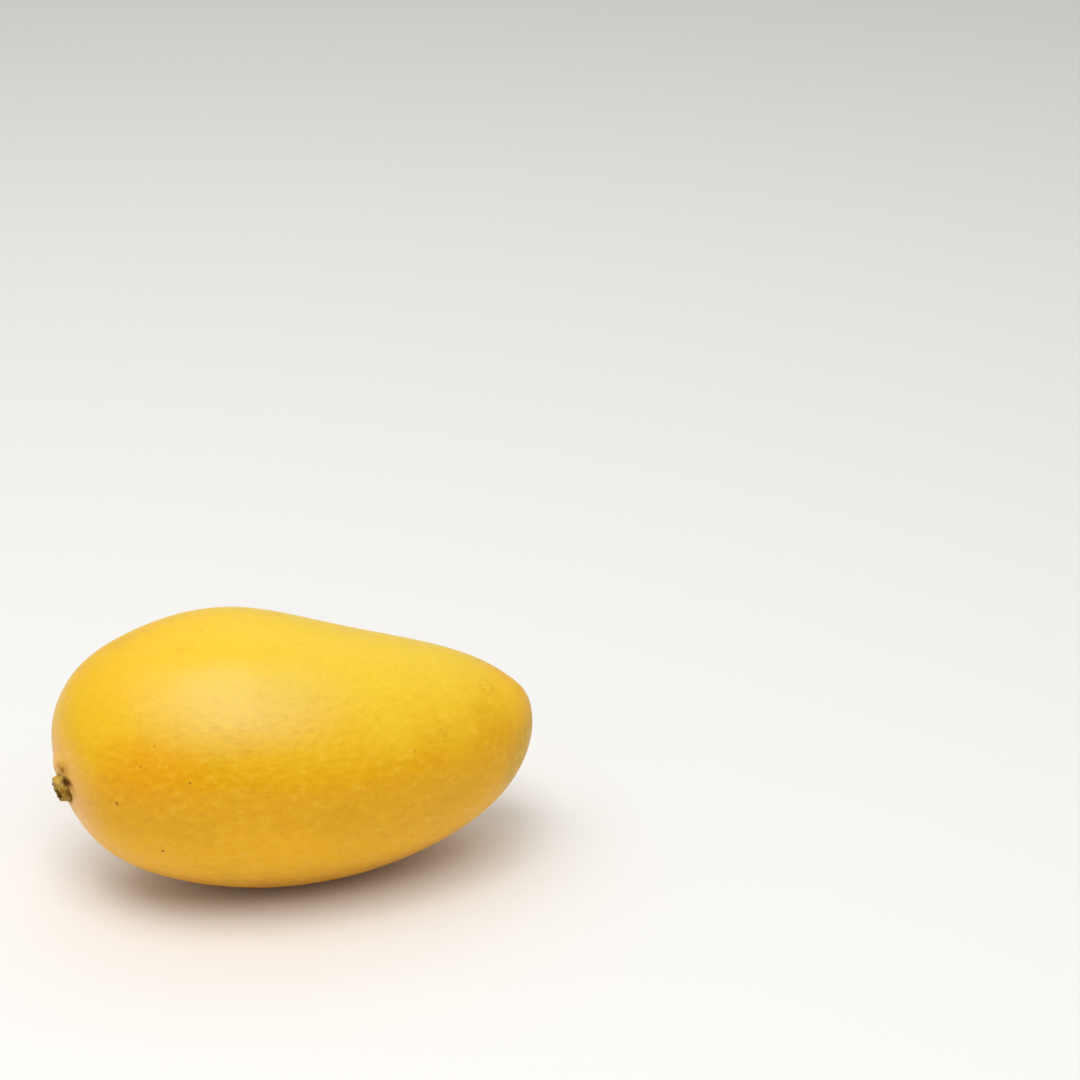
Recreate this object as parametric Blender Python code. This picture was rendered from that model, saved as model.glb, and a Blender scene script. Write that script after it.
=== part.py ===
"""A ripe yellow mango lying on its side, with the short woody stub of its stalk.

Metres, +Z up. The stem end points to -X and the blunt tip to +X. The fruit rests on a small
flat spot at z = 0, and the origin is at the bottom centre of its bounding box.

The fruit is shaped in its own axes: u runs from the stem end to the tip, v from the full back
to the leaner front side, and w across the cheeks. It is then rolled and pitched as it lies.
"""

import math

import bmesh
import bpy
from mathutils import Matrix, Vector

# Fruit: length, and half depths of a cross section at the middle of the length
LENGTH = 0.118
FRONT_DEPTH = 0.0283
BACK_DEPTH = 0.0381
CHEEK_DEPTH = 0.0307

# Fruit: how the front falls from the shoulder to the slimmer tip half
FRONT_FALL = 0.0056
FALL_PLACE = -0.0022
FALL_REACH = 0.0214

# Fruit: how the back and the cheeks taper from the stem end to the tip
BACK_TAPER = 0.0033
CHEEK_TAPER = 0.0031

# Fruit: the square shoulders beside the stem, and how far each reaches along the length
FRONT_SHOULDER = 0.0035
BACK_SHOULDER = 0.0045
CHEEK_SHOULDER = 0.0025
FRONT_SHOULDER_REACH = 0.013
BACK_SHOULDER_REACH = 0.0207

# Fruit: share by which a section is broader towards the back than towards the front
BROAD_BACK = 0.06

# Fruit: how it lies, and how much of its lowest point the flat spot takes off
ROLL = math.radians(60.0)
STEM_LIFT = math.radians(3.4)
FLAT_CUT = 0.00045
MERGE_DISTANCE = 1e-7

# Fruit: facets round a section and along the length
SIDES = 64
RINGS = 46

# Stem: its place, as angles from the fruit's end towards the back and towards the near cheek
STEM_TO_BACK = math.radians(14.0)
STEM_TO_CHEEK = math.radians(4.5)
DIMPLE_DEPTH = 0.0006
DIMPLE_REACH = math.radians(16.0)
TANGENT_STEP = math.radians(0.5)

# Stalk stub: radii, from its root in the fruit up to the broken rim and the hollow inside it
STUB_ROOT_RADIUS = 0.0036
STUB_BASE_RADIUS = 0.0039
STUB_NECK_RADIUS = 0.0030
STUB_RIM_RADIUS = 0.0026
STUB_RIM_INNER_RADIUS = 0.0020
STUB_HOLLOW_RADIUS = 0.0013

# Stalk stub: depth of its root, and heights above the skin
STUB_ROOT_DEPTH = 0.0011
STUB_FLARE_HEIGHT = 0.0009
STUB_NECK_HEIGHT = 0.0016
STUB_RIM_HEIGHT = 0.0022
STUB_HOLLOW_DEPTH = 0.0006

# Stalk stub: two sets of ridges that make its side uneven, and how far the broken rim slants
STUB_SIDES = 36
STUB_RIDGE_DEPTH = 0.00022
MAIN_RIDGES = 7
FINE_RIDGES = 11
FINE_RIDGE_SHARE = 0.6
FINE_RIDGE_TURN = 1.3
RIM_SLANT = 0.0002
RIM_SLANT_TURN = 0.6

# Seat of the stub in the fruit: gap all round it, and length of the plug that cuts it
SOCKET_GAP = 0.0003
SOCKET_LENGTH = 0.007

# Colours, linear
SKIN_COLOUR = (0.87, 0.52, 0.035, 1.0)
WOOD_COLOUR = (0.24, 0.16, 0.055, 1.0)
SKIN_ROUGHNESS = 0.42
WOOD_ROUGHNESS = 0.85

# Angles between facets past which an edge is shaded sharp
SKIN_SHARP = math.radians(35.0)
WOOD_SHARP = math.radians(50.0)


def clear_scene():
    for old in list(bpy.data.objects):
        bpy.data.objects.remove(old, do_unlink=True)


def new_collection(name):
    collection = bpy.data.collections.new(name)
    bpy.context.scene.collection.children.link(collection)
    return collection


def plain_material(name, colour, roughness):
    material = bpy.data.materials.new(name)
    material.use_nodes = True
    shader = material.node_tree.nodes["Principled BSDF"]
    shader.inputs["Base Color"].default_value = colour
    shader.inputs["Roughness"].default_value = roughness
    shader.inputs["Metallic"].default_value = 0.0
    return material


def add_object(name, shape, collection):
    shape.normal_update()
    mesh = bpy.data.meshes.new(name)
    shape.to_mesh(mesh)
    shape.free()
    piece = bpy.data.objects.new(name, mesh)
    collection.objects.link(piece)
    return piece


def stem_direction():
    """Direction from the fruit's middle to its stem, on the unit sphere that it is shaped from."""
    toward = Vector((-1.0, -math.tan(STEM_TO_BACK), math.tan(STEM_TO_CHEEK)))
    return toward.normalized()


def fade(distance, reach):
    """1 at the start, falling smoothly to almost nothing past twice the reach."""
    return math.exp(-(distance / reach) ** 2)


def skin_point(direction):
    """Point of the skin, in the fruit's own axes, for a direction on the unit sphere."""
    half_length = LENGTH / 2
    along = direction.x * half_length
    from_end = along + half_length
    ring = max(math.hypot(direction.y, direction.z), MERGE_DISTANCE)
    toward_front = direction.y / ring
    toward_cheek = direction.z / ring

    front = FRONT_DEPTH - FRONT_FALL * math.tanh((along - FALL_PLACE) / FALL_REACH)
    front += FRONT_SHOULDER * fade(from_end, FRONT_SHOULDER_REACH)
    back = BACK_DEPTH - BACK_TAPER * direction.x
    back += BACK_SHOULDER * fade(from_end, BACK_SHOULDER_REACH)
    cheek = CHEEK_DEPTH - CHEEK_TAPER * direction.x
    cheek += CHEEK_SHOULDER * fade(from_end, FRONT_SHOULDER_REACH)

    middle = (front - back) / 2
    depth = (front + back) / 2
    point = Vector((
        along,
        ring * (middle + depth * toward_front),
        ring * cheek * toward_cheek * (1 - BROAD_BACK * toward_front),
    ))
    off_stem = direction.angle(stem_direction(), math.pi)
    return point - point.normalized() * DIMPLE_DEPTH * fade(off_stem, DIMPLE_REACH)


def lying_turn():
    """Turns the fruit's own axes to how it lies: rolled on its back, with the stem end lifted."""
    return Matrix.Rotation(STEM_LIFT, 4, "Y") @ Matrix.Rotation(ROLL, 4, "X")


def stem_axes():
    """Matrix, in the fruit's own axes, whose Z runs straight out of the skin at the stem."""
    outward = stem_direction()
    across = outward.orthogonal().normalized()
    beside = outward.cross(across)
    place = skin_point(outward)
    along_a = skin_point((outward + across * TANGENT_STEP).normalized()) - place
    along_b = skin_point((outward + beside * TANGENT_STEP).normalized()) - place
    normal = along_a.cross(along_b).normalized()
    return Matrix.Translation(place) @ normal.to_track_quat("Z", "Y").to_matrix().to_4x4()


def fruit_shape():
    """The whole fruit as it lies, and the move that puts its flat spot on the ground."""
    shape = bmesh.new()
    bmesh.ops.create_uvsphere(shape, u_segments=SIDES, v_segments=RINGS, radius=1.0)
    bmesh.ops.rotate(shape, verts=shape.verts, matrix=Matrix.Rotation(math.pi / 2, 3, "Y"))
    for vertex in shape.verts:
        vertex.co = skin_point(vertex.co.normalized())
    bmesh.ops.transform(shape, matrix=lying_turn(), verts=shape.verts)

    ground = min(vertex.co.z for vertex in shape.verts) + FLAT_CUT
    everything = shape.verts[:] + shape.edges[:] + shape.faces[:]
    bmesh.ops.bisect_plane(shape, geom=everything, dist=MERGE_DISTANCE, plane_co=(0, 0, ground),
                           plane_no=(0, 0, -1), clear_outer=True)
    rim = [edge for edge in shape.edges if edge.is_boundary]
    bmesh.ops.edgeloop_fill(shape, edges=rim)
    bmesh.ops.recalc_face_normals(shape, faces=shape.faces)
    return shape, ground


def stub_profile():
    """Half outline of the stub, as radius and height, from its root up and into the broken face."""
    return (
        (0.0, -STUB_ROOT_DEPTH),
        (STUB_ROOT_RADIUS, -STUB_ROOT_DEPTH),
        (STUB_BASE_RADIUS, 0.0),
        (STUB_BASE_RADIUS, STUB_FLARE_HEIGHT / 2),
        (STUB_ROOT_RADIUS, STUB_FLARE_HEIGHT),
        (STUB_NECK_RADIUS, STUB_NECK_HEIGHT),
        (STUB_RIM_RADIUS, STUB_RIM_HEIGHT),
        (STUB_RIM_INNER_RADIUS, STUB_RIM_HEIGHT),
        (STUB_HOLLOW_RADIUS, STUB_RIM_HEIGHT - STUB_HOLLOW_DEPTH),
        (0.0, STUB_RIM_HEIGHT - STUB_HOLLOW_DEPTH),
    )


def roughen(vertex):
    """Moves a point of the stub out to its ridges, and up or down with the uneven broken rim."""
    radius = math.hypot(vertex.co.x, vertex.co.y)
    if radius == 0.0:
        return
    turn = math.atan2(vertex.co.y, vertex.co.x)
    rise = max(0.0, vertex.co.z) / STUB_RIM_HEIGHT
    outward = radius / STUB_BASE_RADIUS
    ridge = math.cos(MAIN_RIDGES * turn)
    ridge += FINE_RIDGE_SHARE * math.cos(FINE_RIDGES * turn + FINE_RIDGE_TURN)
    wider = 1 + STUB_RIDGE_DEPTH * ridge * rise * outward / radius
    slant = RIM_SLANT * rise ** 3 * outward * math.cos(turn - RIM_SLANT_TURN)
    vertex.co = (vertex.co.x * wider, vertex.co.y * wider, vertex.co.z + slant)


def stub_shape():
    """The stub turned about its axis, with uneven ridges down its side and an uneven broken rim."""
    shape = bmesh.new()
    points = [shape.verts.new((radius, 0.0, height)) for radius, height in stub_profile()]
    for low, high in zip(points, points[1:]):
        shape.edges.new((low, high))
    bmesh.ops.spin(shape, geom=shape.verts[:] + shape.edges[:], cent=(0, 0, 0), axis=(0, 0, 1),
                   angle=2 * math.pi, steps=STUB_SIDES, use_merge=True)
    bmesh.ops.remove_doubles(shape, verts=shape.verts, dist=MERGE_DISTANCE)
    for vertex in shape.verts:
        roughen(vertex)
    bmesh.ops.recalc_face_normals(shape, faces=shape.faces)
    return shape


def socket_shape():
    """Round plug that leaves the stub's seat in the fruit, with a small gap all round."""
    shape = bmesh.new()
    radius = STUB_BASE_RADIUS + SOCKET_GAP
    bmesh.ops.create_cone(shape, cap_ends=True, segments=STUB_SIDES, radius1=radius,
                          radius2=radius, depth=SOCKET_LENGTH)
    lift = SOCKET_LENGTH / 2 - STUB_ROOT_DEPTH - SOCKET_GAP
    bmesh.ops.translate(shape, verts=shape.verts, vec=(0, 0, lift))
    return shape


def to_bottom_centre(points, ground):
    """Move that brings the middle of the points' box to the origin and the ground to z = 0."""
    middle_x = (min(point.x for point in points) + max(point.x for point in points)) / 2
    middle_y = (min(point.y for point in points) + max(point.y for point in points)) / 2
    return Matrix.Translation((-middle_x, -middle_y, -ground))


def build():
    clear_scene()
    mango = new_collection("mango")
    cutters = new_collection("cutters")

    skin, ground = fruit_shape()
    wood = stub_shape()
    seat = lying_turn() @ stem_axes()
    points = [vertex.co for vertex in skin.verts] + [seat @ vertex.co for vertex in wood.verts]
    to_origin = to_bottom_centre(points, ground)

    fruit = add_object("fruit", skin, mango)
    fruit.matrix_world = to_origin
    fruit.data.materials.append(plain_material("skin", SKIN_COLOUR, SKIN_ROUGHNESS))
    fruit.data.shade_smooth()
    fruit.data.set_sharp_from_angle(angle=SKIN_SHARP)

    stub = add_object("stem_stub", wood, mango)
    stub.matrix_world = to_origin @ seat
    stub.data.materials.append(plain_material("stalk_wood", WOOD_COLOUR, WOOD_ROUGHNESS))
    stub.data.shade_smooth()
    stub.data.set_sharp_from_angle(angle=WOOD_SHARP)

    socket = add_object("stub_socket", socket_shape(), cutters)
    socket.matrix_world = to_origin @ seat
    socket.hide_render = True
    socket.display_type = "WIRE"

    cut = fruit.modifiers.new("socket", "BOOLEAN")
    cut.operation = "DIFFERENCE"
    cut.solver = "EXACT"
    cut.object = socket


build()
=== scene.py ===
import math

import bmesh
import bpy
from mathutils import Matrix, Vector, noise


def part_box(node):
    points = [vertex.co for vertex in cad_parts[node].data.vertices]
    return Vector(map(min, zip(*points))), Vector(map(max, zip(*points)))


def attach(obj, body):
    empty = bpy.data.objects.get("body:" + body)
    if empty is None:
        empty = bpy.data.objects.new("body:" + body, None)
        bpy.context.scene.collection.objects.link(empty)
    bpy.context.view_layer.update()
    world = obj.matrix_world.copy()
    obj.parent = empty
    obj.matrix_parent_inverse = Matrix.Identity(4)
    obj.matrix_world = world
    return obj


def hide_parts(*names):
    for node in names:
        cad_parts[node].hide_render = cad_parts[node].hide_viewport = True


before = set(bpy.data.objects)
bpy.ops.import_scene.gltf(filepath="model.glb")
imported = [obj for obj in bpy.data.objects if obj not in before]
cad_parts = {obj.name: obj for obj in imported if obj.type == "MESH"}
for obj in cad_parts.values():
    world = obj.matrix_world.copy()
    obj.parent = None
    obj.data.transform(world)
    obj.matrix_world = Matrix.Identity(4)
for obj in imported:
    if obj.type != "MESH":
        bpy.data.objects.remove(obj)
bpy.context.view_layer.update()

# Camera
# It looks down on the near cheek from a little to the stem side, from about 0.63 m. It is turned
# past the fruit, so that the fruit lies low in the left half of the frame.
LENS_MM = 85.0
SENSOR_MM = 36.0
CAMERA_PLACE = (-0.0771, -0.5495, 0.3210)
CAMERA_TURN = math.radians(-14.097)
CAMERA_DIP = math.radians(22.934)

camera_data = bpy.data.cameras.new("camera")
camera_data.lens = LENS_MM
camera_data.sensor_width = SENSOR_MM
camera = bpy.data.objects.new("camera", camera_data)
camera.location = CAMERA_PLACE
camera.rotation_euler = (math.pi / 2 - CAMERA_DIP, 0.0, CAMERA_TURN)
bpy.context.scene.collection.objects.link(camera)
bpy.context.scene.camera = camera

# Fruit
# The whole ripe mango, grown as one piece: thin waxy skin drawn tight over the flesh. It has a full
# back, a leaner front that falls away towards a blunt tip, and lies rolled on its back edge with
# the stem end lifted. The skin is gently uneven, and sinks a little round the stalk.
LENGTH = 0.118
FRONT_DEPTH = 0.0283
BACK_DEPTH = 0.0381
CHEEK_DEPTH = 0.0307
FRONT_FALL = 0.0056
FALL_PLACE = -0.0022
FALL_REACH = 0.0214
BACK_TAPER = 0.0033
CHEEK_TAPER = 0.0031
FRONT_SHOULDER = 0.0035
BACK_SHOULDER = 0.0045
CHEEK_SHOULDER = 0.0025
FRONT_SHOULDER_REACH = 0.013
BACK_SHOULDER_REACH = 0.0207
FRONT_TIP = 0.0006
BACK_TIP = 0.0010
CHEEK_TIP = 0.0006
TIP_REACH = 0.023
BEAK_DIRECTION = (0.955, 0.260, 0.140)
BEAK_RISE = 0.00050
BEAK_REACH = math.radians(8.5)
BROAD_BACK = 0.06
ROLL = math.radians(60.0)
STEM_LIFT = math.radians(3.4)
STEM_TO_BACK = math.radians(14.0)
STEM_TO_CHEEK = math.radians(4.5)
DIMPLE_DEPTH = 0.0006
DIMPLE_REACH = math.radians(16.0)
TANGENT_STEP = math.radians(0.5)
TINY = 1e-7

# The cube that is blown up into the fruit: cuts along each edge, and how far round the stem is finer
GRID_CUTS = 115
FINE_ROUND_STEM = math.radians(15.0)
FINEST_ROUND_STEM = math.radians(8.0)

# Unevenness of the skin: three sizes of wave, held in a little so that none passes the solid's box
BROAD_WAVE = 0.024
BROAD_SWELL = 0.00024
SMALL_WAVE = 0.0090
SMALL_SWELL = 0.00010
FINE_WAVE = 0.0038
FINE_SWELL = 0.00003
HELD_IN = 0.35
FLAT_SOFTNESS = 0.00025

# Round the stalk: the crease at its foot, and the lip of skin that stands highest on the upper side
SEAT_DEPTH = BACK_DEPTH / 4
STUB_FOOT_RADIUS = 0.0037
CREASE_WIDTH = 0.00045
CREASE_DEPTH = 0.00045
COLLAR_RADIUS = 0.0052
COLLAR_WIDTH = 0.0026
COLLAR_RISE = 0.00115
COLLAR_TURN = math.radians(162.0)
COLLAR_LOW_SHARE = 0.08
COLLAR_FOCUS = 4
COLLAR_WRINKLE = 0.00020
WRINKLE_WAVE = 0.0011


def fade(distance, reach):
    """1 at the start, falling smoothly to almost nothing past twice the reach."""
    return math.exp(-(distance / reach) ** 2)


def stem_direction():
    """The way from the middle of the fruit to the stalk, in the fruit's own axes."""
    toward = Vector((-1.0, -math.tan(STEM_TO_BACK), math.tan(STEM_TO_CHEEK)))
    return toward.normalized()


def skin_point(direction):
    """Point of the skin in the fruit's own axes, along its length, towards its front and cheek."""
    half_length = LENGTH / 2
    along = direction.x * half_length
    from_end = along + half_length
    from_tip = half_length - along
    ring = max(math.hypot(direction.y, direction.z), TINY)
    toward_front = direction.y / ring
    toward_cheek = direction.z / ring

    front = FRONT_DEPTH - FRONT_FALL * math.tanh((along - FALL_PLACE) / FALL_REACH)
    front += FRONT_SHOULDER * fade(from_end, FRONT_SHOULDER_REACH)
    back = BACK_DEPTH - BACK_TAPER * direction.x
    back += BACK_SHOULDER * fade(from_end, BACK_SHOULDER_REACH)
    cheek = CHEEK_DEPTH - CHEEK_TAPER * direction.x
    cheek += CHEEK_SHOULDER * fade(from_end, FRONT_SHOULDER_REACH)
    front += FRONT_TIP * fade(from_tip, TIP_REACH)
    back += BACK_TIP * fade(from_tip, TIP_REACH)
    cheek += CHEEK_TIP * fade(from_tip, TIP_REACH)

    middle = (front - back) / 2
    depth = (front + back) / 2
    point = Vector((
        along,
        ring * (middle + depth * toward_front),
        ring * cheek * toward_cheek * (1 - BROAD_BACK * toward_front),
    ))
    off_stem = direction.angle(stem_direction(), math.pi)
    off_beak = direction.angle(Vector(BEAK_DIRECTION), math.pi)
    rise = BEAK_RISE * fade(off_beak, BEAK_REACH) - DIMPLE_DEPTH * fade(off_stem, DIMPLE_REACH)
    return point + point.normalized() * rise


def stem_axes():
    """Matrix, in the fruit's own axes, whose Z runs straight out of the skin at the stem."""
    outward = stem_direction()
    across = outward.orthogonal().normalized()
    beside = outward.cross(across)
    place = skin_point(outward)
    along_a = skin_point((outward + across * TANGENT_STEP).normalized()) - place
    along_b = skin_point((outward + beside * TANGENT_STEP).normalized()) - place
    normal = along_a.cross(along_b).normalized()
    return Matrix.Translation(place) @ normal.to_track_quat("Z", "Y").to_matrix().to_4x4()


skin = bmesh.new()
bmesh.ops.create_cube(skin, size=2.0)
bmesh.ops.subdivide_edges(skin, edges=skin.edges[:], cuts=GRID_CUTS, use_grid_fill=True)
for vertex in skin.verts:
    vertex.co = Vector([math.tan(value * math.pi / 4) for value in vertex.co]).normalized()
for reach in (FINE_ROUND_STEM, FINEST_ROUND_STEM):
    round_stem = [edge for edge in skin.edges
                  if edge.verts[0].co.angle(stem_direction()) < reach]
    bmesh.ops.subdivide_edges(skin, edges=round_stem, cuts=1, use_grid_fill=True)
for vertex in skin.verts:
    vertex.co = skin_point(vertex.co.normalized())

lying = Matrix.Rotation(STEM_LIFT, 4, "Y") @ Matrix.Rotation(ROLL, 4, "X")
bmesh.ops.transform(skin, matrix=lying, verts=skin.verts)
low = Vector([min(vertex.co[axis] for vertex in skin.verts) for axis in range(3)])
high = Vector([max(vertex.co[axis] for vertex in skin.verts) for axis in range(3)])
cad_low, cad_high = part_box("fruit")
to_place = (cad_low + cad_high) / 2 - (low + high) / 2
to_place.z = cad_high.z - high.z
bmesh.ops.translate(skin, verts=skin.verts, vec=to_place)
seat = Matrix.Translation(to_place) @ lying @ stem_axes()

skin.normal_update()
out_of_seat = seat.inverted()
WAVES = ((BROAD_WAVE, BROAD_SWELL), (SMALL_WAVE, SMALL_SWELL), (FINE_WAVE, FINE_SWELL))
moves = []
for vertex in skin.verts:
    swell = 0.0
    for wave, most in WAVES:
        swell += most * (noise.noise(vertex.co / wave) - HELD_IN) / 2
    near = out_of_seat @ vertex.co
    off_axis = math.hypot(near.x, near.y)
    if near.z > -SEAT_DEPTH:
        turn = math.atan2(near.y, near.x)
        upper = ((1 + math.cos(turn - COLLAR_TURN)) / 2) ** COLLAR_FOCUS
        rise = COLLAR_RISE * (COLLAR_LOW_SHARE + (1 - COLLAR_LOW_SHARE) * upper)
        rise += COLLAR_WRINKLE * noise.noise(vertex.co / WRINKLE_WAVE)
        swell += rise * fade(off_axis - COLLAR_RADIUS, COLLAR_WIDTH)
        swell -= CREASE_DEPTH * fade(off_axis - STUB_FOOT_RADIUS, CREASE_WIDTH)
    moves.append(vertex.normal * swell)
for vertex, move in zip(skin.verts, moves):
    vertex.co += move
    height = vertex.co.z
    vertex.co.z = (height + math.hypot(height, FLAT_SOFTNESS)) / 2
bmesh.ops.recalc_face_normals(skin, faces=skin.faces)

fruit_mesh = bpy.data.meshes.new("mango_fruit")
skin.to_mesh(fruit_mesh)
skin.free()
fruit_mesh.shade_smooth()
fruit = bpy.data.objects.new("mango_fruit", fruit_mesh)
bpy.context.scene.collection.objects.link(fruit)


def new_material(name):
    """An empty material with a Principled shader, as (material, node tree, shader)."""
    material = bpy.data.materials.new(name)
    material.use_nodes = True
    tree = material.node_tree
    return material, tree, tree.nodes["Principled BSDF"]


def wire(tree, source, socket):
    """Connects an output, or sets a plain value, on an input socket."""
    if isinstance(source, bpy.types.NodeSocket):
        tree.links.new(source, socket)
    else:
        socket.default_value = source


def maths(tree, operation, first, second=0.0, third=0.0):
    """One sum on two or three values or outputs."""
    node = tree.nodes.new("ShaderNodeMath")
    node.operation = operation
    for socket, value in zip(node.inputs, (first, second, third)):
        wire(tree, value, socket)
    return node.outputs[0]


def ramp(tree, value, start, end, low_value=0.0, high_value=1.0):
    """Smooth step of a value from start to end."""
    node = tree.nodes.new("ShaderNodeMapRange")
    node.interpolation_type = "SMOOTHSTEP"
    for socket, given in zip(node.inputs, (value, start, end, low_value, high_value)):
        wire(tree, given, socket)
    return node.outputs[0]


def blend_colours(tree, share, below, above, mode="MIX"):
    """A share of the colour above laid over the colour below."""
    node = tree.nodes.new("ShaderNodeMix")
    node.data_type = "RGBA"
    node.blend_type = mode
    wire(tree, share, node.inputs[0])
    wire(tree, below, node.inputs[6])
    wire(tree, above, node.inputs[7])
    return node.outputs[2]


def cloud(tree, place, wave, detail=2.0, roughness=0.5):
    """Soft noise from 0 to 1 with waves of the given size in metres."""
    node = tree.nodes.new("ShaderNodeTexNoise")
    node.inputs["Scale"].default_value = 1 / wave
    node.inputs["Detail"].default_value = detail
    node.inputs["Roughness"].default_value = roughness
    wire(tree, place, node.inputs["Vector"])
    return node.outputs["Fac"]


def patch(tree, place, centre, radii):
    """1 in the middle of an egg-shaped patch and 0 at its edge, on every side."""
    spot = tree.nodes.new("ShaderNodeMapping")
    spot.vector_type = "TEXTURE"
    spot.inputs["Location"].default_value = centre
    spot.inputs["Scale"].default_value = radii
    wire(tree, place, spot.inputs["Vector"])
    ball = tree.nodes.new("ShaderNodeTexGradient")
    ball.gradient_type = "SPHERICAL"
    wire(tree, spot.outputs[0], ball.inputs[0])
    return ball.outputs["Fac"]


def dots(tree, place, spacing, radius, share):
    """Round dots scattered one to a cell, in only a share of the cells, as 1 inside and 0 outside."""
    cells = tree.nodes.new("ShaderNodeTexVoronoi")
    cells.inputs["Scale"].default_value = 1 / spacing
    wire(tree, place, cells.inputs["Vector"])
    chance = tree.nodes.new("ShaderNodeSeparateColor")
    wire(tree, cells.outputs["Color"], chance.inputs[0])
    round_dot = ramp(tree, cells.outputs["Distance"], radius / spacing, 0.45 * radius / spacing)
    chosen = maths(tree, "LESS_THAN", chance.outputs[0], share)
    strength = ramp(tree, chance.outputs[1], 0.0, 1.0, 0.45, 1.0)
    return maths(tree, "MULTIPLY", maths(tree, "MULTIPLY", round_dot, chosen), strength)


GOLD = (0.84, 0.462, 0.001, 1.0)
# Painted light: a paler lemon on top, where the overhead light falls
PAINTED_LIGHT_LEMON = (0.850, 0.575, 0.030, 1.0)
# Painted shade: a deeper amber lower down, away from the overhead light
PAINTED_SHADE_AMBER = (0.79, 0.392, 0.001, 1.0)
# Painted light: a brighter orange on the lower side, standing in for light bounced up from the floor
PAINTED_BOUNCE_LIGHT = (0.94, 0.478, 0.002, 1.0)
# Painted shade: a darker orange along the bottom, where the fruit meets the floor
PAINTED_CONTACT_SHADE = (0.66, 0.295, 0.002, 1.0)
ORANGE = (0.80, 0.312, 0.000, 1.0)
# Painted shade: a darker olive on the lower part of the tip
PAINTED_TIP_SHADE = (0.65, 0.355, 0.001, 1.0)
# Painted light: a brighter gold on the upper side of the tip
PAINTED_TIP_LIGHT = (0.96, 0.580, 0.012, 1.0)
OLIVE = (0.62, 0.390, 0.010, 1.0)
PEACH = (0.96, 0.510, 0.165, 1.0)
# Pale pores, and painted light on the crests of the small folds
PALE_PORES_AND_FOLD_LIGHT = (0.94, 0.580, 0.045, 1.0)
# Painted highlight: a paler, bluer patch on the upper cheek where the lights reflect
PAINTED_HIGHLIGHT = (0.74, 0.545, 0.240, 1.0)
# Painted shade in the hollows of the small folds, laid on by multiplying
FOLD_SHADE = (0.82, 0.73, 0.30, 1.0)
SPECK_BROWN = (0.42, 0.150, 0.001, 1.0)
SCORCH = (0.30, 0.135, 0.002, 1.0)
# Dark brown at the stalk's near foot: partly a stain, partly painted shade in the crease there
FOOT_STAIN_AND_SHADE = (0.11, 0.040, 0.000, 1.0)

# Where the colours lie, up from the floor and along from the middle: each goes from none to full
DRIFT_WAVE = 0.040
DRIFT_HEIGHT = 0.030
PAINTED_SHADE_LEVELS = (0.048, 0.034)
BOUNCE_LIGHT_LEVELS = (0.033, 0.019)
CONTACT_SHADE_HEIGHTS = (0.017, 0.006)
PAINTED_LIGHT_LEVELS = (0.036, 0.056)
PAINTED_LIGHT_ALONG = (-0.050, 0.005)

# Patches of colour: place and radii
ORANGE_PATCH = ((-0.038, -0.024, 0.043), (0.024, 0.016, 0.012))
TIP_SHADE_PATCH = ((0.060, -0.010, 0.024), (0.016, 0.022, 0.018))
TIP_LIGHT_PATCH = ((0.0525, -0.0055, 0.0435), (0.011, 0.013, 0.010))
HIGHLIGHT_PATCH = ((-0.015, -0.020, 0.055), (0.034, 0.020, 0.013))
STEM_PATCH_RADII = (0.018, 0.018, 0.018)
FOOT_STAIN_AND_SHADE_PATCH = ((-0.0561, -0.0092, 0.0354), (0.0029, 0.0036, 0.0020))

# Small markings: size of the waves or cells, and radius of the dots
OLIVE_WAVE = 0.013
FOLD_WAVE = 0.0017
FOLD_STRETCH = (0.70, 1.0, 1.0)
PORE_SPACING = 0.0034
PORE_RADIUS = 0.0006
FAINT_SPECK_SPACING = 0.0062
FAINT_SPECK_RADIUS = 0.0005
SMALL_SPECK_SPACING = 0.0130
SMALL_SPECK_RADIUS = 0.00036
RAGGED_WAVE = 0.0005
RAGGED_EDGE = 0.00030
SCORCH_WAVE = 0.0016
SHEEN_WAVE = 0.006
FOLD_RELIEF = 0.00032

# Dark specks that are plain from a step away on the near cheek: place, radius, share
SPECKS = (
    ((-0.0361, -0.0211, 0.0484), 0.00042, 0.50),
    ((-0.0396, -0.0221, 0.0439), 0.00044, 0.70),
    ((-0.0289, -0.0270, 0.0409), 0.00054, 0.90),
    ((-0.0455, -0.0214, 0.0347), 0.00062, 0.95),
    ((-0.0359, -0.0244, 0.0225), 0.00062, 0.95),
    ((0.0243, -0.0249, 0.0413), 0.00044, 0.50),
    ((-0.0111, -0.0240, 0.0516), 0.00036, 0.30),
    ((-0.0333, -0.0271, 0.0324), 0.00042, 0.45),
)
SCUFF_PLACE = (0.0457, -0.0069, 0.0471)
SCUFF_RADIUS = 0.0021
SCUFF_WIDTH = 0.0008
SCUFF_WAVE = 0.0016
SCUFF_WOBBLE = 0.0030

# Brown marks on the lip of skin, from the middle of the stalk's seat: place, radius, share
SCORCH_MARKS = (
    ((-0.0035, 0.0055, 0.0001), 0.0038, 0.34),
    ((0.0014, 0.0050, 0.0000), 0.0034, 0.30),
    ((-0.0051, 0.0041, 0.0002), 0.0016, 0.25),
    ((-0.0037, 0.0054, 0.0002), 0.0013, 0.90),
)

skin_material, tree, shader = new_material("mango_skin")
place = tree.nodes.new("ShaderNodeTexCoord").outputs["Object"]
split = tree.nodes.new("ShaderNodeSeparateXYZ")
wire(tree, place, split.inputs[0])
along = split.outputs["X"]
height = split.outputs["Z"]

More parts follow.
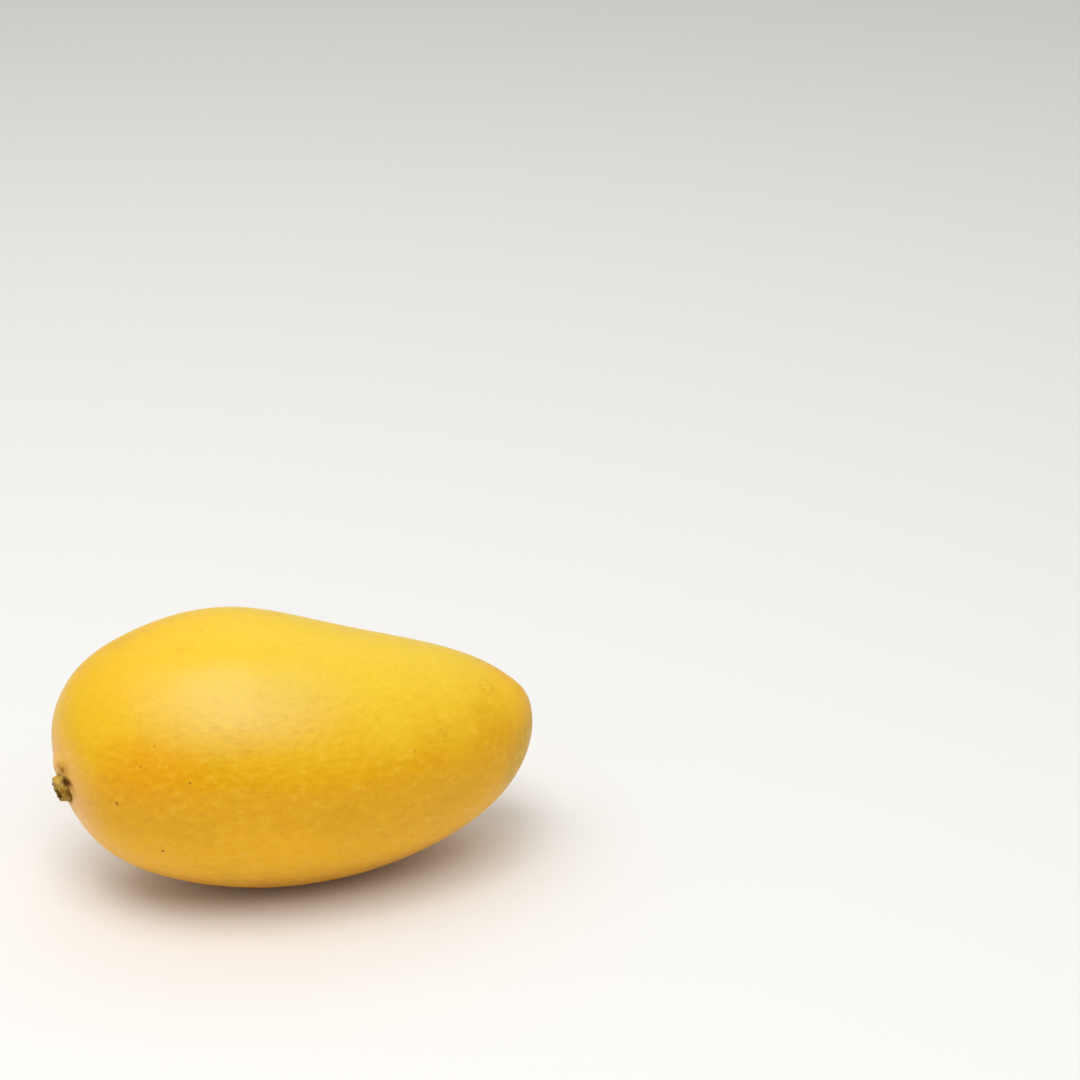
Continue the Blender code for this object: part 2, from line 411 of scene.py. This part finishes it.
# Broad drift of colour: lemon on top as painted light, amber lower down as painted shade, orange near
# the stem end, and olive at the tip as painted shade
drift = cloud(tree, place, DRIFT_WAVE, 3.0)
level = maths(tree, "ADD", height, maths(tree, "MULTIPLY_ADD", drift, DRIFT_HEIGHT, -DRIFT_HEIGHT / 2))
colour = blend_colours(tree, ramp(tree, level, *PAINTED_SHADE_LEVELS), GOLD, PAINTED_SHADE_AMBER)
# Painted bounce light from the floor on the lower side
colour = blend_colours(tree, ramp(tree, level, *BOUNCE_LIGHT_LEVELS), colour, PAINTED_BOUNCE_LIGHT)
# Painted contact shade along the bottom
colour = blend_colours(tree, ramp(tree, height, *CONTACT_SHADE_HEIGHTS), colour, PAINTED_CONTACT_SHADE)
painted_light_most = ramp(tree, along, *PAINTED_LIGHT_ALONG, 0.25, 1.0)
painted_light_share = maths(tree, "MULTIPLY", ramp(tree, level, *PAINTED_LIGHT_LEVELS), painted_light_most)
colour = blend_colours(tree, painted_light_share, colour, PAINTED_LIGHT_LEMON)
orange_most = ramp(tree, drift, 0.2, 0.6, 0.35, 0.65)
orange_patch = ramp(tree, patch(tree, place, *ORANGE_PATCH), 0.0, 0.9)
colour = blend_colours(tree, maths(tree, "MULTIPLY", orange_patch, orange_most), colour, ORANGE)
# Painted shade on the lower part of the tip
tip_shade_share = ramp(tree, patch(tree, place, *TIP_SHADE_PATCH), 0.0, 0.5, 0.0, 0.85)
colour = blend_colours(tree, tip_shade_share, colour, PAINTED_TIP_SHADE)
# Painted light on the upper side of the tip
tip_light_share = ramp(tree, patch(tree, place, *TIP_LIGHT_PATCH), 0.0, 0.9, 0.0, 0.58)
colour = blend_colours(tree, tip_light_share, colour, PAINTED_TIP_LIGHT)
olive_share = ramp(tree, cloud(tree, place, OLIVE_WAVE, 3.0, 0.55), 0.56, 0.76, 0.0, 0.25)
colour = blend_colours(tree, olive_share, colour, OLIVE)
# Painted highlight on the upper cheek
highlight_share = ramp(tree, patch(tree, place, *HIGHLIGHT_PATCH), 0.0, 0.8, 0.0, 0.28)
colour = blend_colours(tree, highlight_share, colour, PAINTED_HIGHLIGHT)
stem_patch = patch(tree, place, seat.translation, STEM_PATCH_RADII)
colour = blend_colours(tree, ramp(tree, stem_patch, 0.0, 1.0, 0.0, 0.75), colour, PEACH)

# Fine dashes along the length where the skin has dried into small folds: pale painted light, dark
# painted shade
stretched = tree.nodes.new("ShaderNodeMapping")
stretched.inputs["Scale"].default_value = FOLD_STRETCH
wire(tree, place, stretched.inputs["Vector"])
folds = cloud(tree, stretched.outputs[0], FOLD_WAVE, 3.0, 0.6)
fold_light_most = ramp(tree, along, -0.044, -0.014, 0.27, 0.39)
lit_folds = maths(tree, "MULTIPLY", ramp(tree, folds, 0.51, 0.72), fold_light_most)
colour = blend_colours(tree, lit_folds, colour, PALE_PORES_AND_FOLD_LIGHT)
off_tip = ramp(tree, along, 0.056, 0.030, 0.35, 1.0)
shade_most = maths(tree, "MULTIPLY", ramp(tree, level, 0.062, 0.042, 0.08, 0.36), off_tip)
shaded_folds = maths(tree, "MULTIPLY", ramp(tree, folds, 0.50, 0.28), shade_most)
colour = blend_colours(tree, shaded_folds, colour, FOLD_SHADE, "MULTIPLY")

# Pores, then small brown specks
pores = dots(tree, place, PORE_SPACING, PORE_RADIUS, 0.45)
colour = blend_colours(tree, maths(tree, "MULTIPLY", pores, 0.35), colour, PALE_PORES_AND_FOLD_LIGHT)
faint_specks = dots(tree, place, FAINT_SPECK_SPACING, FAINT_SPECK_RADIUS, 0.35)
colour = blend_colours(tree, maths(tree, "MULTIPLY", faint_specks, 0.30), colour, SPECK_BROWN)
small_specks = dots(tree, place, SMALL_SPECK_SPACING, SMALL_SPECK_RADIUS, 0.35)
colour = blend_colours(tree, maths(tree, "MULTIPLY", small_specks, 0.45), colour, SPECK_BROWN)
ragged = maths(tree, "MULTIPLY_ADD", cloud(tree, place, RAGGED_WAVE), RAGGED_EDGE, -RAGGED_EDGE / 2)
for speck_place, speck_radius, speck_share in SPECKS:
    gap = tree.nodes.new("ShaderNodeVectorMath")
    gap.operation = "DISTANCE"
    wire(tree, place, gap.inputs[0])
    gap.inputs[1].default_value = speck_place
    edge = maths(tree, "ADD", gap.outputs["Value"], ragged)
    in_speck = ramp(tree, edge, speck_radius, 0.3 * speck_radius, 0.0, speck_share)
    colour = blend_colours(tree, in_speck, colour, SPECK_BROWN)

# A faint ring-shaped scuff near the tip
off_scuff = tree.nodes.new("ShaderNodeVectorMath")
off_scuff.operation = "DISTANCE"
wire(tree, place, off_scuff.inputs[0])
off_scuff.inputs[1].default_value = SCUFF_PLACE
scuff_cloud = cloud(tree, place, SCUFF_WAVE, 2.0)
inward = -SCUFF_WOBBLE / 2 - SCUFF_RADIUS
wobble = maths(tree, "MULTIPLY_ADD", scuff_cloud, SCUFF_WOBBLE, inward)
off_ring = maths(tree, "ABSOLUTE", maths(tree, "ADD", off_scuff.outputs["Value"], wobble))
scuff_most = ramp(tree, scuff_cloud, 0.40, 0.60, 0.06, 0.20)
scuff_share = maths(tree, "MULTIPLY", ramp(tree, off_ring, SCUFF_WIDTH, 0.0), scuff_most)
colour = blend_colours(tree, scuff_share, colour, SPECK_BROWN)

# Brown scorch marks close round the stalk, dry and dull
dry = 0.0
for mark_place, mark_radius, mark_share in SCORCH_MARKS:
    mark = patch(tree, place, seat @ Vector(mark_place), (mark_radius, mark_radius, mark_radius))
    mark = ramp(tree, mark, 0.0, 0.7, 0.0, mark_share)
    colour = blend_colours(tree, mark, colour, SCORCH)
    dry = maths(tree, "MAXIMUM", dry, mark)
# Dark brown spot on the skin at the stalk's near foot: partly a stain, partly painted crease shade
foot_stain_and_shade_share = ramp(tree, patch(tree, place, *FOOT_STAIN_AND_SHADE_PATCH), 0.05, 0.8)
colour = blend_colours(tree, foot_stain_and_shade_share, colour, FOOT_STAIN_AND_SHADE)
dry = maths(tree, "MAXIMUM", dry, foot_stain_and_shade_share)
near_stem = ramp(tree, stem_patch, 0.64, 0.80)
scorch_blots = ramp(tree, cloud(tree, place, SCORCH_WAVE, 2.0, 0.6), 0.52, 0.66)
scorch_share = maths(tree, "MULTIPLY", maths(tree, "MULTIPLY", near_stem, scorch_blots), 0.7)
colour = blend_colours(tree, scorch_share, colour, SCORCH)
wire(tree, colour, shader.inputs["Base Color"])

# Waxy gloss, less of it at the tip, underneath and on the scorch marks
dull = ramp(tree, cloud(tree, place, SHEEN_WAVE, 3.0), 0.3, 0.7, 0.38, 0.50)
wire(tree, maths(tree, "MULTIPLY_ADD", dry, 0.35, dull), shader.inputs["Roughness"])
shader.inputs["IOR"].default_value = 1.45
shader.inputs["Specular IOR Level"].default_value = 0.28
shader.inputs["Specular Tint"].default_value = (1.0, 0.86, 0.50, 1.0)
shader.inputs["Subsurface Weight"].default_value = 0.12
shader.inputs["Subsurface Radius"].default_value = (1.0, 0.55, 0.15)
shader.inputs["Subsurface Scale"].default_value = 0.0025
waxy = maths(tree, "MULTIPLY", off_tip, ramp(tree, height, 0.004, 0.026, 0.2, 1.0))
coat = maths(tree, "MULTIPLY", waxy, ramp(tree, dry, 0.0, 0.7, 0.28, 0.0))
wire(tree, coat, shader.inputs["Coat Weight"])
shader.inputs["Coat Roughness"].default_value = 0.24

relief = maths(tree, "ADD", folds, maths(tree, "MULTIPLY", pores, 0.25))
bump = tree.nodes.new("ShaderNodeBump")
bump.inputs["Strength"].default_value = 1.0
bump.inputs["Distance"].default_value = FOLD_RELIEF
wire(tree, relief, bump.inputs["Height"])
wire(tree, bump.outputs["Normal"], shader.inputs["Normal"])
fruit_mesh.materials.append(skin_material)

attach(fruit, "root")
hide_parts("fruit")

# Stalk stub
# What is left of the woody fruit stalk, snapped off at picking. Its foot widens under a lip of skin,
# its side is ridged and dry, and the broken face is a dark hollow inside a frayed pale rim.
STUB_OUTLINE = (
    (0.0, -0.0007),
    (0.0034, -0.0007),
    (0.0038, -0.0003),
    (0.0037, 0.0001),
    (0.0034, 0.0005),
    (0.0032, 0.0009),
    (0.0030, 0.0013),
    (0.0029, 0.0016),
    (0.0027, 0.0019),
    (0.0025, 0.0020),
    (0.0022, 0.0018),
    (0.0019, 0.0013),
    (0.0015, 0.0010),
    (0.0009, 0.0009),
    (0.0, 0.0010),
)
STUB_TOP = 0.0020
STUB_STEPS = 160
OUTLINE_CUTS = 4

# Its side: ridges and finer bark, how many go round and how fast they change upwards
RIDGE_DEPTH = 0.00050
RIDGES_ROUND = 2.3
RIDGES_UP = 0.8
BARK_DEPTH = 0.00022
BARK_ROUND = 6.0
BARK_UP = 3.0
BARK_SHIFT = Vector((3.0, 1.0, 0.0))
FOOT_ROUGHNESS = 0.4

# Its rim: the slant of the break, a notch on the near side, and the fraying
SLANT = 0.00012
SLANT_TURN = math.radians(148.0)
NOTCH_TURN = math.radians(45.0)
NOTCH_REACH = math.radians(32.0)
NOTCH_DEPTH = 0.00055
FRAY_HEIGHT = 0.00040
FRAY_WAVE = 0.0009

wood = bmesh.new()
outline = [wood.verts.new((radius, 0.0, height)) for radius, height in STUB_OUTLINE]
for lower, upper in zip(outline, outline[1:]):
    wood.edges.new((lower, upper))
bmesh.ops.subdivide_edges(wood, edges=wood.edges[:], cuts=OUTLINE_CUTS)
bmesh.ops.spin(wood, geom=wood.verts[:] + wood.edges[:], cent=(0, 0, 0), axis=(0, 0, 1),
               angle=2 * math.pi, steps=STUB_STEPS, use_merge=True)
bmesh.ops.remove_doubles(wood, verts=wood.verts, dist=TINY)
for vertex in wood.verts:
    radius = math.hypot(vertex.co.x, vertex.co.y)
    turn = math.atan2(vertex.co.y, vertex.co.x)
    rise = max(0.0, vertex.co.z) / STUB_TOP
    outward = min(1.0, radius / STUB_FOOT_RADIUS)
    around = Vector((math.cos(turn), math.sin(turn), 0.0))
    ridges = noise.noise(around * RIDGES_ROUND + Vector((0.0, 0.0, rise * RIDGES_UP)))
    bark = noise.noise(around * BARK_ROUND + BARK_SHIFT + Vector((0.0, 0.0, rise * BARK_UP)))
    rough = RIDGE_DEPTH * ridges + BARK_DEPTH * bark
    vertex.co += around * outward * rough * (FOOT_ROUGHNESS + (1 - FOOT_ROUGHNESS) * min(1.0, rise))
    off_notch = math.remainder(turn - NOTCH_TURN, 2 * math.pi)
    fray = noise.noise(Vector((vertex.co.x, vertex.co.y, 0.0)) / FRAY_WAVE)
    tall = SLANT * math.cos(turn - SLANT_TURN) * outward * rise
    tall += FRAY_HEIGHT * fray * rise ** 2
    tall -= NOTCH_DEPTH * fade(off_notch, NOTCH_REACH) * outward * rise ** 2
    vertex.co.z += tall
bmesh.ops.transform(wood, matrix=seat, verts=wood.verts)
bmesh.ops.recalc_face_normals(wood, faces=wood.faces)

stub_mesh = bpy.data.meshes.new("mango_stub")
wood.to_mesh(stub_mesh)
wood.free()
stub_mesh.shade_smooth()
stub = bpy.data.objects.new("mango_stub", stub_mesh)
bpy.context.scene.collection.objects.link(stub)

STRAW = (0.66, 0.430, 0.075, 1.0)
OLIVE_BARK = (0.36, 0.250, 0.035, 1.0)
BROWN_BARK = (0.36, 0.195, 0.014, 1.0)
STREAK_BROWN = (0.12, 0.055, 0.008, 1.0)
DARK_PITH = (0.060, 0.036, 0.005, 1.0)
PALE_FIBRE = (0.50, 0.42, 0.26, 1.0)

# On its own axes: waves of the wood, patches of colour as place and radii, and the hollow's edge
LUMP_WAVE = 0.0011
SIDE_WAVE = 0.0016
SIDE_WANDER = 0.003
STREAK_WAVE = 0.0007
STREAK_STRETCH = (1.0, 1.0, 0.22)
CREASE_SHADE_PATCH = ((0.0017, 0.0034, 0.0003), (0.0012, 0.0020, 0.0008))
STUB_STAIN_AND_SHADE = ((-0.0009, 0.0040, -0.0002), (0.0017, 0.0022, 0.0014))
BROWN_SIDE = (-0.0012, 0.0006)
RIM_HEIGHTS = (0.0016, 0.0022)
FOOT_HEIGHTS = (0.0003, 0.0008)
HOLLOW_SIDES = (-0.0006, 0.0012)
HOLLOW_REACHES = (0.0019, 0.0025)
HOLLOW_SOFTNESS = 0.0005
CORE_RADII = (0.0010, 0.0005)
GRAIN_RELIEF = 0.00018

wood_material, tree, shader = new_material("mango_stalk_wood")
turned = tree.nodes.new("ShaderNodeMapping")
turned.vector_type = "TEXTURE"
turned.inputs["Location"].default_value = seat.translation
turned.inputs["Rotation"].default_value = seat.to_euler()
wire(tree, tree.nodes.new("ShaderNodeTexCoord").outputs["Object"], turned.inputs["Vector"])
parts = tree.nodes.new("ShaderNodeSeparateXYZ")
wire(tree, turned.outputs[0], parts.inputs[0])
height = parts.outputs["Z"]
across = tree.nodes.new("ShaderNodeCombineXYZ")
wire(tree, parts.outputs["X"], across.inputs["X"])
wire(tree, parts.outputs["Y"], across.inputs["Y"])
off_axis = tree.nodes.new("ShaderNodeVectorMath")
off_axis.operation = "LENGTH"
wire(tree, across.outputs[0], off_axis.inputs[0])
radius = off_axis.outputs["Value"]
upright = tree.nodes.new("ShaderNodeMapping")
upright.inputs["Scale"].default_value = STREAK_STRETCH
wire(tree, turned.outputs[0], upright.inputs["Vector"])

# Straw and olive on the upper side, brown below, with dark and pale streaks down the grain
side_cloud = cloud(tree, turned.outputs[0], SIDE_WAVE)
side_wander = maths(tree, "MULTIPLY_ADD", side_cloud, SIDE_WANDER, -SIDE_WANDER / 2)
side_level = maths(tree, "ADD", parts.outputs["X"], side_wander)
lumps = cloud(tree, turned.outputs[0], LUMP_WAVE, 2.0)
colour = blend_colours(tree, ramp(tree, lumps, 0.48, 0.64, 0.0, 0.8), STRAW, OLIVE_BARK)
colour = blend_colours(tree, ramp(tree, side_level, *BROWN_SIDE), colour, BROWN_BARK)
streaks = cloud(tree, upright.outputs[0], STREAK_WAVE, 3.0, 0.6)
colour = blend_colours(tree, ramp(tree, streaks, 0.50, 0.66, 0.0, 0.8), colour, STREAK_BROWN)
colour = blend_colours(tree, ramp(tree, streaks, 0.46, 0.34, 0.0, 0.4), colour, PALE_FIBRE)
# Painted shade: a dark streak down the crease at the stalk's foot
crease_shade_share = ramp(tree, patch(tree, turned.outputs[0], *CREASE_SHADE_PATCH), 0.0, 0.7, 0.0, 0.7)
colour = blend_colours(tree, crease_shade_share, colour, STREAK_BROWN)
# Dark brown at the stalk's near foot: partly a stain, partly painted shade in the crease there
stub_stain_and_shade_share = ramp(tree, patch(tree, turned.outputs[0], *STUB_STAIN_AND_SHADE), 0.05, 0.6)
colour = blend_colours(tree, stub_stain_and_shade_share, colour, FOOT_STAIN_AND_SHADE)

# The broken face: a pale rim round a dark hollow
colour = blend_colours(tree, ramp(tree, height, *RIM_HEIGHTS, 0.0, 0.3), colour, PALE_FIBRE)
above_foot = ramp(tree, height, *FOOT_HEIGHTS)
dark_reach = ramp(tree, parts.outputs["X"], *HOLLOW_SIDES, *HOLLOW_REACHES)
dark_inside = maths(tree, "SUBTRACT", dark_reach, HOLLOW_SOFTNESS)
in_hollow = maths(tree, "MULTIPLY", ramp(tree, radius, dark_reach, dark_inside), above_foot)
colour = blend_colours(tree, in_hollow, colour, DARK_PITH)
core = maths(tree, "MULTIPLY", ramp(tree, radius, *CORE_RADII, 0.0, 0.5), above_foot)
colour = blend_colours(tree, core, colour, STREAK_BROWN)
wire(tree, colour, shader.inputs["Base Color"])
shader.inputs["Roughness"].default_value = 0.8
shader.inputs["Specular IOR Level"].default_value = 0.15
grain = tree.nodes.new("ShaderNodeBump")
grain.inputs["Strength"].default_value = 1.0
grain.inputs["Distance"].default_value = GRAIN_RELIEF
wire(tree, streaks, grain.inputs["Height"])
wire(tree, grain.outputs["Normal"], shader.inputs["Normal"])
stub_mesh.materials.append(wood_material)

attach(stub, "root")
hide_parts("stem_stub")

# Floor
# A plain pale surface that the fruit lies on, painted matt. It is large enough to fill the view
# and to run on out of sight behind the fruit.
FLOOR_SIDE = 12.0
FLOOR_COLOUR = (0.84, 0.84, 0.83, 1.0)

ground = bmesh.new()
bmesh.ops.create_grid(ground, x_segments=1, y_segments=1, size=FLOOR_SIDE / 2)
floor_mesh = bpy.data.meshes.new("floor")
ground.to_mesh(floor_mesh)
ground.free()
floor = bpy.data.objects.new("floor", floor_mesh)
bpy.context.scene.collection.objects.link(floor)
floor_material, tree, shader = new_material("floor_paint")
shader.inputs["Base Color"].default_value = FLOOR_COLOUR
shader.inputs["Roughness"].default_value = 0.9
shader.inputs["Specular IOR Level"].default_value = 0.2
floor_mesh.materials.append(floor_material)

# Light
# Three soft boxes hang above on the near side, the middle one the brightest, and a weak one behind
# lights the upper edge. The room round them is pale, and darker low down behind the camera.
BOXES = (
    ("main_box", 0.46, 1.05, (-0.11, -0.48, 1.05), 6.3),
    ("side_box", 0.45, 0.80, (0.26, -0.90, 1.05), 1.5),
    ("left_box", 0.50, 0.80, (-0.52, -0.08, 1.05), 2.2),
    ("back_box", 1.00, 0.35, (0.00, 0.55, 0.80), 0.9),
)
ROOM_STRENGTH = 0.47
ROOM_COLOUR = (1.0, 0.99, 0.97, 1.0)
OVERHEAD_GAIN = 1.3
DARK_SIDE = ((-0.2, -1.0, 0.05), (1.6, 1.0, 0.45))
DARK_SIDE_KEPT = 0.30

for name, width, depth, place, power in BOXES:
    box_light = bpy.data.lights.new(name, "AREA")
    box_light.shape = "RECTANGLE"
    box_light.size = width
    box_light.size_y = depth
    box_light.energy = power
    box = bpy.data.objects.new(name, box_light)
    box.location = place
    bpy.context.scene.collection.objects.link(box)

world = bpy.data.worlds.new("room")
world.use_nodes = True
tree = world.node_tree
background = tree.nodes["Background"]
sky = tree.nodes.new("ShaderNodeTexCoord").outputs["Generated"]
sky_parts = tree.nodes.new("ShaderNodeSeparateXYZ")
wire(tree, sky, sky_parts.inputs[0])
above = ramp(tree, sky_parts.outputs["Z"], 0.1, 0.9, 1.0, OVERHEAD_GAIN)
kept = ramp(tree, patch(tree, sky, *DARK_SIDE), 0.0, 0.8, 1.0, DARK_SIDE_KEPT)
room_light = maths(tree, "MULTIPLY", maths(tree, "MULTIPLY", above, kept), ROOM_STRENGTH)
wire(tree, room_light, background.inputs["Strength"])
background.inputs["Color"].default_value = ROOM_COLOUR
bpy.context.scene.world = world
bpy.context.scene.view_settings.view_transform = "Standard"
